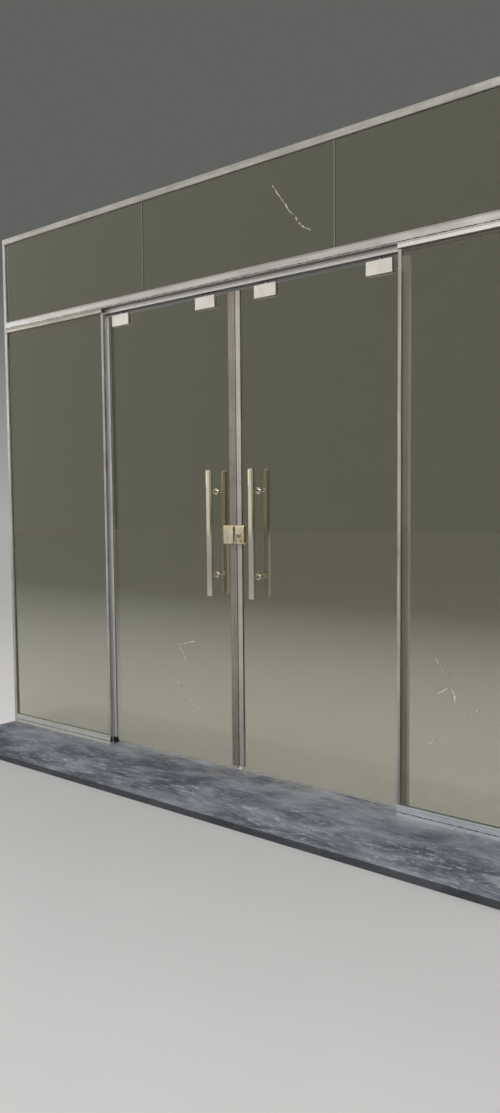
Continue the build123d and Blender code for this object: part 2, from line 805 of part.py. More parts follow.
def pull_outer(side):
    """Outer pull bar with its welded posts and the studs that pass through the glass."""
    with BuildPart() as pull:
        bar_y = door_front - pull_reach
        with BuildSketch(Plane.XY.offset(pull_z - pull_length / 2)):
            with Locations((side * pull_from_middle, bar_y)):
                Circle(pull_radius)
        extrude(amount=pull_length)
        fillet(pull.edges().filter_by(GeomType.CIRCLE), pull_end_radius)
        for radius, depth in ((post_disc_radius, post_disc_height), (post_radius, pull_reach)):
            with BuildSketch(facing(door_front)):
                with Locations((side * pull_from_middle, pull_z)):
                    with GridLocations(0, post_spacing, 1, 2):
                        Circle(radius)
            extrude(amount=depth)
        with BuildSketch(facing(door_front)):
            with Locations((side * pull_from_middle, pull_z)):
                with GridLocations(0, post_spacing, 1, 2):
                    Circle(stud_radius)
        extrude(amount=-(door_glass_thickness + stud_bite))
    return pull


def pull_inner(side):
    """Inner pull bar with its welded posts, bored for the studs of the outer one."""
    with BuildPart() as pull:
        bar_y = door_back + pull_reach
        with BuildSketch(Plane.XY.offset(pull_z - pull_length / 2)):
            with Locations((side * pull_from_middle, bar_y)):
                Circle(pull_radius)
        extrude(amount=pull_length)
        fillet(pull.edges().filter_by(GeomType.CIRCLE), pull_end_radius)
        for radius, depth in ((post_disc_radius, post_disc_height), (post_radius, pull_reach)):
            with BuildSketch(facing(door_back)):
                with Locations((side * pull_from_middle, pull_z)):
                    with GridLocations(0, post_spacing, 1, 2):
                        Circle(radius)
            extrude(amount=-depth)
        with BuildSketch(facing(door_back)):
            with Locations((side * pull_from_middle, pull_z)):
                with GridLocations(0, post_spacing, 1, 2):
                    Circle(stud_radius + thread_clearance)
        extrude(amount=-(stud_bite + thread_clearance), mode=Mode.SUBTRACT)
    return pull


def case_body(side, width):
    """Rounded case on a leading stile, with a foot that rests on the glass beside the stile."""
    near, far = side * lock_gap, side * (lock_gap + width)
    with BuildPart() as case:
        with BuildSketch(facing(stile_front)) as outline:
            span(near, lock_z - case_height / 2, far, lock_z + case_height / 2)
            fillet(outline.vertices(), case_corner_radius)
        extrude(amount=case_proud)
        fillet(case.faces().sort_by(Axis.Y)[0].edges(), case_edge_radius)
        with BuildSketch(facing(stile_front)):
            stile_edge = side * (meeting_half + lead_stile_widths[side] + seat_clearance)
            foot_half = case_height / 2 - case_corner_radius
            span(stile_edge, lock_z - foot_half, far, lock_z + foot_half)
        extrude(amount=-(door_front - stile_front))
        with BuildSketch(facing(case_front)):
            groove_z = lock_z - case_groove_level
            span(near, groove_z, far, groove_z + case_groove_height)
        extrude(amount=-case_groove_depth, mode=Mode.SUBTRACT)
    return case


for name, side in sides:
    keep(door_glass(side), f"door_glass_{name}")
    lead_inner = meeting_half + lead_stile_widths[side]
    keep(stile(side * meeting_half, side * lead_inner, True), f"lead_stile_{name}")
    trail_inner = trailing_edge - trail_stile_width
    keep(stile(side * trailing_edge, side * trail_inner, False), f"trail_stile_{name}")
    keep(clamp_fronts(side), f"clamp_fronts_{name}")
    keep(clamp_backs(side), f"clamp_backs_{name}")
    keep(clamp_pads(side), f"clamp_pads_{name}")
    keep(clamp_screws(side), f"clamp_screws_{name}")
    keep(hanger_bolts(side), f"hanger_bolts_{name}")
    keep(carriages(side), f"carriages_{name}")
    keep(pull_outer(side), f"pull_outer_{name}")
    keep(pull_inner(side), f"pull_inner_{name}")
    axle_places = [middle + step for middle in clamp_middles for step in (-axle_spacing / 2, axle_spacing / 2)]
    for number, place in enumerate(axle_places, start=1):
        keep(wheel_set(side * place), f"wheel_set_{name}_{number}")

# Meeting seal in the groove of the left leading stile
with BuildPart() as meeting_seal:
    with BuildSketch(Plane.XY.offset(floor_z + stile_floor_gap)):
        groove_half = seal_groove_width / 2
        groove_end = -(meeting_half + seal_groove_depth)
        span(groove_end, door_y - groove_half, -meeting_half, door_y + groove_half)
        span(-meeting_half, door_y - seal_nose_half, meeting_half - seal_clearance, door_y + seal_nose_half)
    extrude(amount=glass_top - floor_z - stile_floor_gap)
keep(meeting_seal, "meeting_seal")

# Lock: the plug carries a hook that swings out of the lock case and behind the lip of the keeper
def hook_path(low_x, low_z, high_x, high_z):
    """The part of the ring swept by the hook that lies within a rectangle."""
    with BuildSketch(facing(hook_front - hook_side_clearance)) as path:
        with Locations((plug_x, plug_z)):
            Circle(hook_outer_radius + hook_clearance)
            Circle(hook_radius - hook_clearance, mode=Mode.SUBTRACT)
        span(low_x, low_z, high_x, high_z, Mode.INTERSECT)
    return path.sketch


hook_room = hook_thickness + 2 * hook_side_clearance
hook_high = plug_z + hook_outer_radius + hook_clearance

with BuildPart() as lock_case:
    add(case_body(1, lock_case_width).part)
    with BuildSketch(facing(case_front)):
        with Locations((plug_x, plug_z)):
            Circle(plug_radius + plug_clearance)
    extrude(amount=-plug_length, mode=Mode.SUBTRACT)
    with BuildSketch(facing(hook_front - hook_side_clearance)):
        room_near = lock_gap + case_wall
        room_far = lock_gap + lock_case_width - case_wall
        span(room_near, plug_z - plug_radius - case_wall, room_far, hook_high)
    extrude(amount=-hook_room, mode=Mode.SUBTRACT)
    extrude(hook_path(lock_gap, plug_z, room_near, hook_high), amount=-hook_room, mode=Mode.SUBTRACT)
keep(lock_case, "lock_case")

with BuildPart() as keeper_case:
    add(case_body(-1, keeper_width).part)
    extrude(
        hook_path(plug_x - hook_outer_radius - hook_width, plug_z - hook_width, -lock_gap, hook_high),
        amount=-hook_room,
        mode=Mode.SUBTRACT,
    )
keep(keeper_case, "keeper_case")

hook_root_angle = 180 - hook_tip_angle - hook_arc

with BuildPart() as lock_hook:
    with BuildSketch(facing(hook_front)):
        with Locations((plug_x, plug_z)):
            Circle(hook_outer_radius)
            Circle(hook_radius, mode=Mode.SUBTRACT)
        with Locations(Location((plug_x, plug_z, 0), (0, 0, hook_root_angle))):
            far_end = Vector(2 * hook_outer_radius, 0).rotate(Axis.Z, hook_arc)
            Polygon((0, 0), (2 * hook_outer_radius, 0), (far_end.X, far_end.Y), align=None, mode=Mode.INTERSECT)
        with Locations(Location((plug_x, plug_z, 0), (0, 0, hook_root_angle + hook_arm_lag))):
            Rectangle(hook_radius + hook_width / 2, hook_width, align=(Align.MIN, Align.CENTER))
        with Locations((plug_x, plug_z)):
            Circle(plug_radius)
    extrude(amount=-hook_thickness)
keep(lock_hook, "lock_hook")

# Cylinder plug with the key slot
with BuildPart() as lock_plug:
    with BuildSketch(facing(case_front - plug_stand)):
        with Locations((plug_x, plug_z)):
            Circle(plug_radius)
    extrude(amount=-(plug_length + plug_stand))
    with BuildSketch(facing(case_front - plug_stand)):
        with Locations((plug_x, plug_z)):
            slot_width = key_thickness + 2 * key_slot_clearance
            Rectangle(slot_width, key_blade_height + 2 * key_slot_clearance)
    extrude(amount=-(key_blade_length + key_slot_clearance), mode=Mode.SUBTRACT)
keep(lock_plug, "lock_plug")

# Key in the plug: round bow, shoulder and blade
bow_y = case_front - plug_stand - key_bow_stand - key_bow_radius
hole_to_bow = key_bow_radius - key_hole_rim - key_hole_radius
key_hole_y = bow_y - hole_to_bow

with BuildPart() as key:
    with BuildSketch(Plane.YZ.offset(plug_x)):
        with Locations((bow_y, plug_z)):
            Circle(key_bow_radius)
        blade_end = case_front - plug_stand + key_blade_length
        span(bow_y, plug_z - key_blade_height / 2, blade_end, plug_z + key_blade_height / 2)
        with Locations((key_hole_y, plug_z)):
            Circle(key_hole_radius, mode=Mode.SUBTRACT)
    extrude(amount=key_thickness / 2, both=True)
keep(key, "key")

# Ring through the bow, with a second key that hangs from it
hole_play = key_hole_radius - key_ring_wire - key_ring_clearance
ring_z = plug_z - hole_play - key_ring_radius
spare_hole_z = ring_z - key_ring_radius - hole_play
spare_bow_z = spare_hole_z - hole_to_bow

with BuildPart() as key_bunch:
    with Locations(Location((plug_x, key_hole_y, ring_z), (90, 0, 0))):
        Torus(key_ring_radius, key_ring_wire)
    with BuildSketch(Plane.YZ.offset(plug_x)):
        with Locations((key_hole_y, spare_bow_z)):
            Circle(key_bow_radius)
        half_blade = key_blade_height / 2
        blade_end = spare_bow_z - key_bow_radius - spare_blade_length
        span(key_hole_y - half_blade, blade_end, key_hole_y + half_blade, spare_bow_z)
        with Locations((key_hole_y, spare_hole_z)):
            Circle(key_hole_radius, mode=Mode.SUBTRACT)
    extrude(amount=key_thickness / 2, both=True)
keep(key_bunch, "key_bunch")
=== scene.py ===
import json
import math
import bpy
import bmesh
from mathutils import Matrix, Vector


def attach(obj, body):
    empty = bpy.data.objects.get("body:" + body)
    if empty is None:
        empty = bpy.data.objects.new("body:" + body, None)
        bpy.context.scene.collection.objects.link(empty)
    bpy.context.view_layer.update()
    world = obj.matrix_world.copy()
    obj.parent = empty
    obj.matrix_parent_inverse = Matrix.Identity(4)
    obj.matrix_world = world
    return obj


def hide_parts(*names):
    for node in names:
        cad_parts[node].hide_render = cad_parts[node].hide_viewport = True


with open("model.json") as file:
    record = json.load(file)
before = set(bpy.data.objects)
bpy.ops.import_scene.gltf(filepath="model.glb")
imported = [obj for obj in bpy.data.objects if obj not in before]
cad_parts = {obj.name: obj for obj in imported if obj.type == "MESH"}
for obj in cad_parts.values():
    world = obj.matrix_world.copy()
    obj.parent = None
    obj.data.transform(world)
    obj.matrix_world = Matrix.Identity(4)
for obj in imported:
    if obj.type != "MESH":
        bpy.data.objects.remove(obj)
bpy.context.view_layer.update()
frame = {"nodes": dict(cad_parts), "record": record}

MM = 0.001  # metres in a millimetre
QUARTER = math.radians(90)

# Where the photograph was taken from, in metres and degrees
CAMERA_PLACE = (2.413, -3.016, 1.329)
CAMERA_YAW = 37.52  # turned to the left of straight on
CAMERA_PITCH = -3.74
CAMERA_ROLL = -0.51
CAMERA_LENS = 26.54  # mm
CAMERA_FILM = 36  # mm, its long side

# Places on the front that marks and dust follow, in millimetres
FLOOR = 30  # top of the stone
FASCIA_FOOT = 2351  # foot of the header's face
HEADER_GROOVE = (FASCIA_FOOT + 4, 2.4)  # middle and half width
CHANNEL_GROOVE = (FLOOR + 17, 2.2)
SCRATCHES = (  # the two ends of each stroke on the outer side of the panes, as X and Z
    ((240, 2725), (350, 2570)),
    ((350, 2578), (392, 2520)),
    ((392, 2520), (440, 2490)),
    ((-400, 612), (-270, 645)),
    ((-380, 610), (-333, 535)),
    ((-430, 445), (-380, 405)),
    ((-377, 404), (-206, 260)),
    ((1023, 707), (1085, 634)),
    ((1088, 632), (1117, 528)),
    ((1040, 560), (1084, 596)),
    ((1165, 482), (1207, 522)),
    ((984, 355), (1062, 384)),
)
SCRATCH_HALF_WIDTH = 2.0
SCRATCH_WANDER = 22

# Sockets by number: amount, colours and result of a Mix for colours, and the limits of a Map Range
AMOUNT, FIRST, SECOND, MIXED = 0, 6, 7, 2
FROM_LOW, FROM_HIGH, TO_LOW, TO_HIGH = 1, 2, 3, 4


# Colours, nodes and materials
def colour(hex_code):
    """Linear RGBA from an sRGB hex code."""
    values = [int(hex_code[i:i + 2], 16) / 255 for i in (1, 3, 5)]
    return (*[v / 12.92 if v <= 0.04045 else ((v + 0.055) / 1.055) ** 2.4 for v in values], 1.0)


def every(size):
    """The scale of a pattern whose marks are about this many millimetres in size."""
    return 1 / (size * MM)


def node(tree, kind, inputs=None, **settings):
    """Adds a shader node with its settings; an input is a value, or an output socket to link."""
    new = tree.nodes.new(kind)
    for name, value in settings.items():
        setattr(new, name, value)
    for name, value in (inputs or {}).items():
        if isinstance(value, bpy.types.NodeSocket):
            tree.links.new(value, new.inputs[name])
        else:
            new.inputs[name].default_value = value
    return new


def new_finish(name):
    """An empty material and its tree."""
    material = bpy.data.materials.new(name)
    material.use_nodes = True
    material.node_tree.nodes.clear()
    return material, material.node_tree


def extruded_aluminium(name, low, high, gloss, run, dust="#c9c8c4", dust_share=0.35, painted_light_low=None,
                       dirty_groove=None, shade_from_below=0.0):
    """6063 aluminium pressed through a die and anodised satin.

    The die leaves fine lines along the length, which is the axis run, the anodising an even soft sheen, and
    handling faint cloudy marks. Real die lines are about 0.3 mm apart; they are drawn 5 mm apart so that they
    show. dust_share is how much of its upright faces dust covers. Under the level painted_light_low the metal
    is painted near white, as painted light, and shade_from_below is how dark faces that look down are
    painted, as painted shade.
    """
    material, tree = new_finish(name)
    place = node(tree, "ShaderNodeTexCoord")
    level = node(tree, "ShaderNodeSeparateXYZ", {"Vector": place.outputs["Object"]}).outputs["Z"]
    facing = node(tree, "ShaderNodeSeparateXYZ", {"Vector": place.outputs["Normal"]}).outputs["Z"]
    drawn_out = [1 / 60 if axis == run else 1 for axis in "XYZ"]  # lines 60 times as long as wide
    along = node(tree, "ShaderNodeMapping", {"Vector": place.outputs["Object"], "Scale": drawn_out})
    lines = node(tree, "ShaderNodeTexNoise", {"Vector": along.outputs[0], "Scale": every(5), "Detail": 2.0})
    marks = node(tree, "ShaderNodeTexNoise", {
        "Vector": place.outputs["Object"], "Scale": every(160), "Detail": 5.0, "Roughness": 0.6})
    shade = node(tree, "ShaderNodeMath", {0: lines.outputs["Fac"], 1: marks.outputs["Fac"]}, operation="ADD")
    shade = node(tree, "ShaderNodeMapRange", {"Value": shade.outputs[0], FROM_LOW: 0.8, FROM_HIGH: 1.2})
    metal = node(tree, "ShaderNodeMix", {
        AMOUNT: shade.outputs[0], FIRST: colour(low), SECOND: colour(high)}, data_type="RGBA")

    if painted_light_low is not None:
        # Below this level the metal is painted near white, as painted light in the shaded recess low on the
        # piece
        painted_lift = node(tree, "ShaderNodeMath", {0: level, 1: painted_light_low * MM}, operation="LESS_THAN")
        metal = node(tree, "ShaderNodeMix", {
            AMOUNT: painted_lift.outputs[0], FIRST: metal.outputs[MIXED], SECOND: colour("#efeeec")},
            data_type="RGBA")

    if shade_from_below:
        # Faces that look down are painted dark, as painted shade under the piece
        downward_shade = node(tree, "ShaderNodeMapRange", {
            "Value": facing, FROM_LOW: -0.6, FROM_HIGH: -0.9, TO_LOW: 0.0, TO_HIGH: shade_from_below})
        metal = node(tree, "ShaderNodeMix", {
            AMOUNT: downward_shade.outputs[0], FIRST: metal.outputs[MIXED], SECOND: colour("#3d3c38")},
            data_type="RGBA")

    # Building dust lies on faces that look up and clings lightly to the rest
    upward = node(tree, "ShaderNodeMapRange", {
        "Value": facing, FROM_LOW: 0.3, FROM_HIGH: 0.9, TO_LOW: dust_share, TO_HIGH: 0.9})
    grit = node(tree, "ShaderNodeTexNoise", {
        "Vector": place.outputs["Object"], "Scale": every(25), "Detail": 8.0, "Roughness": 0.75})
    film = node(tree, "ShaderNodeMapRange", {"Value": grit.outputs["Fac"], FROM_LOW: 0.35, FROM_HIGH: 0.7})
    film = node(tree, "ShaderNodeMath", {0: film.outputs[0], 1: upward.outputs[0]}, operation="MULTIPLY")
    shown = node(tree, "ShaderNodeMix", {
        AMOUNT: film.outputs[0], FIRST: metal.outputs[MIXED], SECOND: colour(dust)}, data_type="RGBA")

    if dirty_groove:
        # Dirt sits in the groove, in broken dashes about 12 mm long
        middle, reach = dirty_groove
        dashes = node(tree, "ShaderNodeTexNoise", {
            "Vector": place.outputs["Object"], "Scale": every(12), "Detail": 1.0})
        broken = node(tree, "ShaderNodeMapRange", {
            "Value": dashes.outputs["Fac"], FROM_LOW: 0.4, FROM_HIGH: 0.52, TO_LOW: 0.35, TO_HIGH: 1.0})
        off = node(tree, "ShaderNodeMath", {0: level, 1: middle * MM}, operation="SUBTRACT")
        off = node(tree, "ShaderNodeMath", {0: off.outputs[0]}, operation="ABSOLUTE")
        inside = node(tree, "ShaderNodeMapRange", {
            "Value": off.outputs[0], FROM_LOW: reach * MM, FROM_HIGH: 0.6 * reach * MM})
        dirt = node(tree, "ShaderNodeMath", {
            0: inside.outputs[0], 1: broken.outputs[0]}, operation="MULTIPLY")
        shown = node(tree, "ShaderNodeMix", {
            AMOUNT: dirt.outputs[0], FIRST: shown.outputs[MIXED], SECOND: colour("#26241f")},
            data_type="RGBA")

    bare = node(tree, "ShaderNodeMapRange", {"Value": film.outputs[0], TO_LOW: 1.0, TO_HIGH: 0.1})
    sheen = node(tree, "ShaderNodeMapRange", {
        "Value": marks.outputs["Fac"], FROM_LOW: 0.3, FROM_HIGH: 0.7, TO_LOW: gloss, TO_HIGH: gloss + 0.12})
    rough = node(tree, "ShaderNodeMath", {0: sheen.outputs[0], 1: film.outputs[0]}, operation="ADD")
    raised = node(tree, "ShaderNodeBump", {
        "Height": lines.outputs["Fac"], "Strength": 0.6, "Distance": 0.03 * MM})
    surface = node(tree, "ShaderNodeBsdfPrincipled", {
        "Base Color": shown.outputs[MIXED], "Metallic": bare.outputs[0], "Roughness": rough.outputs[0],
        "Normal": raised.outputs[0]})
    node(tree, "ShaderNodeOutputMaterial", {"Surface": surface.outputs[0]})
    return material


def worked_metal(name, low, high, gloss, grain_mm, grain_run=(1, 1, 1), depth_mm=0.01, cloud_mm=40):
    """Turned, plated or ground metal: a slight cloudiness of colour, and the tool's grain in its gloss."""
    material, tree = new_finish(name)
    place = node(tree, "ShaderNodeTexCoord")
    turned = node(tree, "ShaderNodeMapping", {
        "Vector": place.outputs["Object"], "Scale": [1 / s for s in grain_run]})
    grain = node(tree, "ShaderNodeTexNoise", {
        "Vector": turned.outputs[0], "Scale": every(grain_mm), "Detail": 2.0})
    cloud = node(tree, "ShaderNodeTexNoise", {
        "Vector": place.outputs["Object"], "Scale": every(cloud_mm), "Detail": 4.0})
    shade = node(tree, "ShaderNodeMapRange", {"Value": cloud.outputs["Fac"], FROM_LOW: 0.35, FROM_HIGH: 0.65})
    metal = node(tree, "ShaderNodeMix", {
        AMOUNT: shade.outputs[0], FIRST: colour(low), SECOND: colour(high)}, data_type="RGBA")
    rough = node(tree, "ShaderNodeMapRange", {
        "Value": grain.outputs["Fac"], FROM_LOW: 0.3, FROM_HIGH: 0.7,
        TO_LOW: 0.8 * gloss, TO_HIGH: 1.2 * gloss})
    raised = node(tree, "ShaderNodeBump", {
        "Height": grain.outputs["Fac"], "Strength": 0.5, "Distance": depth_mm * MM})
    surface = node(tree, "ShaderNodeBsdfPrincipled", {
        "Base Color": metal.outputs[MIXED], "Metallic": 1.0, "Roughness": rough.outputs[0],
        "Normal": raised.outputs[0]})
    node(tree, "ShaderNodeOutputMaterial", {"Surface": surface.outputs[0]})
    return material


def moulded(name, low, high, gloss, speck_mm, depth_mm=0.02, clearness=0.0, bend=1.5):
    """Rubber, silicone, nylon or pile, with a slightly uneven skin that dust dulls in places."""
    material, tree = new_finish(name)
    place = node(tree, "ShaderNodeTexCoord")
    skin = node(tree, "ShaderNodeTexNoise", {
        "Vector": place.outputs["Object"], "Scale": every(speck_mm), "Detail": 5.0, "Roughness": 0.6})
    shade = node(tree, "ShaderNodeMapRange", {"Value": skin.outputs["Fac"], FROM_LOW: 0.35, FROM_HIGH: 0.7})
    body = node(tree, "ShaderNodeMix", {
        AMOUNT: shade.outputs[0], FIRST: colour(low), SECOND: colour(high)}, data_type="RGBA")
    rough = node(tree, "ShaderNodeMapRange", {
        "Value": skin.outputs["Fac"], FROM_LOW: 0.3, FROM_HIGH: 0.7, TO_LOW: gloss, TO_HIGH: gloss + 0.15})
    raised = node(tree, "ShaderNodeBump", {
        "Height": skin.outputs["Fac"], "Strength": 0.5, "Distance": depth_mm * MM})
    surface = node(tree, "ShaderNodeBsdfPrincipled", {
        "Base Color": body.outputs[MIXED], "Roughness": rough.outputs[0], "Normal": raised.outputs[0],
        "Transmission Weight": clearness, "IOR": bend})
    node(tree, "ShaderNodeOutputMaterial", {"Surface": surface.outputs[0]})
    return material


def float_glass():
    """Toughened float glass, 10 mm thick.

    Its iron gives the faces a grey olive cast and the cut edges a deeper green. Cleaning leaves wide faint
    wipes in its gloss, building dust a veil at the foot, and grit a few long white scratches.
    """
    material, tree = new_finish("toughened_float_glass")
    place = node(tree, "ShaderNodeTexCoord")
    level = node(tree, "ShaderNodeSeparateXYZ", {"Vector": place.outputs["Object"]}).outputs["Z"]
    facing = node(tree, "ShaderNodeSeparateXYZ", {"Vector": place.outputs["Normal"]}).outputs["Y"]
    across = node(tree, "ShaderNodeMath", {0: facing}, operation="ABSOLUTE")
    on_face = node(tree, "ShaderNodeMapRange", {"Value": across.outputs[0], FROM_LOW: 0.4, FROM_HIGH: 0.6})
    tint = node(tree, "ShaderNodeMix", {
        AMOUNT: on_face.outputs[0], FIRST: colour("#3d5a48"), SECOND: colour("#cdccbc")}, data_type="RGBA")

    # Scratches wander and break off; real ones are under 1 mm wide and are drawn 4 mm wide so that they show
    shake = node(tree, "ShaderNodeTexNoise", {
        "Vector": place.outputs["Object"], "Scale": every(35), "Detail": 3.0})
    shake = node(tree, "ShaderNodeVectorMath", {
        0: shake.outputs["Color"], 1: (0.5, 0.5, 0.5)}, operation="SUBTRACT")
    shake = node(tree, "ShaderNodeVectorMath", {
        0: shake.outputs[0], 1: [SCRATCH_WANDER * MM] * 3}, operation="MULTIPLY")
    wandering = node(tree, "ShaderNodeVectorMath", {
        0: place.outputs["Object"], 1: shake.outputs[0]}, operation="ADD")
    scuff = 0.0
    for (x_0, z_0), (x_1, z_1) in SCRATCHES:
        along = node(tree, "ShaderNodeMapping", {
            "Vector": wandering.outputs[0], "Location": ((x_0 + x_1) / 2 * MM, 0, (z_0 + z_1) / 2 * MM),
            "Rotation": (0, math.atan2(z_0 - z_1, x_1 - x_0), 0),
            "Scale": (math.hypot(x_1 - x_0, z_1 - z_0) / 2 * MM, 1, SCRATCH_HALF_WIDTH * MM)},
            vector_type="TEXTURE")
        off = node(tree, "ShaderNodeVectorMath", {0: along.outputs[0]}, operation="ABSOLUTE")
        off = node(tree, "ShaderNodeSeparateXYZ", {"Vector": off.outputs[0]})
        off = node(tree, "ShaderNodeMath", {0: off.outputs["X"], 1: off.outputs["Z"]}, operation="MAXIMUM")
        stroke = node(tree, "ShaderNodeMapRange", {"Value": off.outputs[0], FROM_LOW: 1.0, FROM_HIGH: 0.8})
        scuff = node(tree, "ShaderNodeMath", {0: scuff, 1: stroke.outputs[0]}, operation="MAXIMUM").outputs[0]
    broken = node(tree, "ShaderNodeTexNoise", {
        "Vector": place.outputs["Object"], "Scale": every(14), "Detail": 2.0})
    broken = node(tree, "ShaderNodeMapRange", {
        "Value": broken.outputs["Fac"], FROM_LOW: 0.47, FROM_HIGH: 0.5})
    outer = node(tree, "ShaderNodeMath", {0: facing, 1: -0.5}, operation="LESS_THAN")
    scuff = node(tree, "ShaderNodeMath", {0: scuff, 1: broken.outputs[0]}, operation="MULTIPLY")
    scuff = node(tree, "ShaderNodeMath", {0: scuff.outputs[0], 1: outer.outputs[0]}, operation="MULTIPLY")

    # Veil of dust that thins out over 350 mm above the stone
    foot = node(tree, "ShaderNodeMapRange", {
        "Value": level, FROM_LOW: FLOOR * MM, FROM_HIGH: (FLOOR + 350) * MM, TO_LOW: 0.22, TO_HIGH: 0.02})
    grit = node(tree, "ShaderNodeTexNoise", {
        "Vector": place.outputs["Object"], "Scale": every(40), "Detail": 8.0, "Roughness": 0.7})
    veil = node(tree, "ShaderNodeMath", {0: foot.outputs[0], 1: grit.outputs["Fac"]}, operation="MULTIPLY")
    cover = node(tree, "ShaderNodeMath", {0: scuff.outputs[0], 1: veil.outputs[0]}, operation="MAXIMUM")
    shown = node(tree, "ShaderNodeMix", {
        AMOUNT: cover.outputs[0], FIRST: tint.outputs[MIXED], SECOND: colour("#e4e3da")}, data_type="RGBA")
    clear = node(tree, "ShaderNodeMath", {0: 1.0, 1: cover.outputs[0]}, operation="SUBTRACT")

    # Wipes of cleaning, about 120 mm wide and three times as tall
    stretched = node(tree, "ShaderNodeMapping", {"Vector": place.outputs["Object"], "Scale": (1, 1, 0.3)})
    wipes = node(tree, "ShaderNodeTexNoise", {
        "Vector": stretched.outputs[0], "Scale": every(120), "Detail": 5.0})
    smear = node(tree, "ShaderNodeMapRange", {
        "Value": wipes.outputs["Fac"], FROM_LOW: 0.55, FROM_HIGH: 0.8, TO_LOW: 0.0, TO_HIGH: 0.05})
    rough = node(tree, "ShaderNodeMath", {0: smear.outputs[0], 1: veil.outputs[0]}, operation="ADD")
    surface = node(tree, "ShaderNodeBsdfPrincipled", {
        "Base Color": shown.outputs[MIXED], "Roughness": rough.outputs[0], "IOR": 1.52,
        "Transmission Weight": clear.outputs[0]})
    node(tree, "ShaderNodeOutputMaterial", {"Surface": surface.outputs[0]})
    return material


def dusty_granite():
    """Dark blue-grey granite, sawn and honed.

    Honing leaves it nearly matt, with crystals of about 3 mm. Wear and building dust leave soft pale
    patches, and towards the front edge a net of fine pale scratches.
    """
    material, tree = new_finish("honed_dark_granite")
    place = node(tree, "ShaderNodeTexCoord")
    depth = node(tree, "ShaderNodeSeparateXYZ", {"Vector": place.outputs["Object"]}).outputs["Y"]
    facing = node(tree, "ShaderNodeSeparateXYZ", {"Vector": place.outputs["Normal"]}).outputs["Y"]
    crystals = node(tree, "ShaderNodeTexNoise", {
        "Vector": place.outputs["Object"], "Scale": every(3), "Detail": 2.0})
    grain = node(tree, "ShaderNodeMapRange", {
        "Value": crystals.outputs["Fac"], FROM_LOW: 0.4, FROM_HIGH: 0.62})
    stone = node(tree, "ShaderNodeMix", {
        AMOUNT: grain.outputs[0], FIRST: colour("#454a58"), SECOND: colour("#697182")}, data_type="RGBA")

    # Worn and dusted patches, about 130 mm deep and twice as wide
    wide = node(tree, "ShaderNodeMapping", {"Vector": place.outputs["Object"], "Scale": (0.45, 1, 1)})
    drift = node(tree, "ShaderNodeTexNoise", {
        "Vector": wide.outputs[0], "Scale": every(130), "Detail": 7.0, "Roughness": 0.62, "Distortion": 0.4})
    patches = node(tree, "ShaderNodeMapRange", {
        "Value": drift.outputs["Fac"], FROM_LOW: 0.41, FROM_HIGH: 0.65, TO_LOW: 0.0, TO_HIGH: 0.7})
    dusted = node(tree, "ShaderNodeMix", {
        AMOUNT: patches.outputs[0], FIRST: stone.outputs[MIXED], SECOND: colour("#aeb4be")}, data_type="RGBA")

    # Scratches of trodden grit, drawn 2 to 3 mm wide so that they show, thicker towards the front edge
    swept = node(tree, "ShaderNodeMapping", {
        "Vector": place.outputs["Object"], "Rotation": (0, 0, math.radians(24)), "Scale": (0.35, 1, 1)})
    tracks = node(tree, "ShaderNodeTexNoise", {
        "Vector": swept.outputs[0], "Scale": every(24), "Detail": 6.0, "Roughness": 0.8, "Distortion": 0.8})
    scratch = node(tree, "ShaderNodeMapRange", {
        "Value": tracks.outputs["Fac"], FROM_LOW: 0.52, FROM_HIGH: 0.64})
    trodden = node(tree, "ShaderNodeMapRange", {
        "Value": depth, FROM_LOW: -80 * MM, FROM_HIGH: -300 * MM, TO_LOW: 0.2, TO_HIGH: 0.85})
    worn = node(tree, "ShaderNodeMath", {0: scratch.outputs[0], 1: trodden.outputs[0]}, operation="MULTIPLY")
    scratched = node(tree, "ShaderNodeMix", {
        AMOUNT: worn.outputs[0], FIRST: dusted.outputs[MIXED], SECOND: colour("#c3c6cb")}, data_type="RGBA")

    # Dust lies in broken patches against the foot of the panes
    swept_in = node(tree, "ShaderNodeMapRange", {
        "Value": depth, FROM_LOW: -130 * MM, FROM_HIGH: -20 * MM, TO_LOW: 0.0, TO_HIGH: 0.7})
    broken = node(tree, "ShaderNodeMapRange", {
        "Value": tracks.outputs["Fac"], FROM_LOW: 0.4, FROM_HIGH: 0.62})
    loose = node(tree, "ShaderNodeMath", {0: swept_in.outputs[0], 1: broken.outputs[0]}, operation="MULTIPLY")
    dusty = node(tree, "ShaderNodeMix", {
        AMOUNT: loose.outputs[0], FIRST: scratched.outputs[MIXED], SECOND: colour("#b0ada6")},
        data_type="RGBA")

    # The sawn front edge is left rough, and is painted near black as painted shade
    sawn = node(tree, "ShaderNodeMapRange", {
        "Value": facing, FROM_LOW: -0.4, FROM_HIGH: -0.8, TO_LOW: 0.0, TO_HIGH: 0.85})
    shown = node(tree, "ShaderNodeMix", {
        AMOUNT: sawn.outputs[0], FIRST: dusty.outputs[MIXED], SECOND: colour("#1d1f23")}, data_type="RGBA")
    rough = node(tree, "ShaderNodeMapRange", {"Value": patches.outputs[0], TO_LOW: 0.34, TO_HIGH: 0.75})
    raised = node(tree, "ShaderNodeBump", {
        "Height": crystals.outputs["Fac"], "Strength": 0.3, "Distance": 0.1 * MM})
    surface = node(tree, "ShaderNodeBsdfPrincipled", {
        "Base Color": shown.outputs[MIXED], "Roughness": rough.outputs[0], "IOR": 1.54,
        "Normal": raised.outputs[0]})
    node(tree, "ShaderNodeOutputMaterial", {"Surface": surface.outputs[0]})
    return material


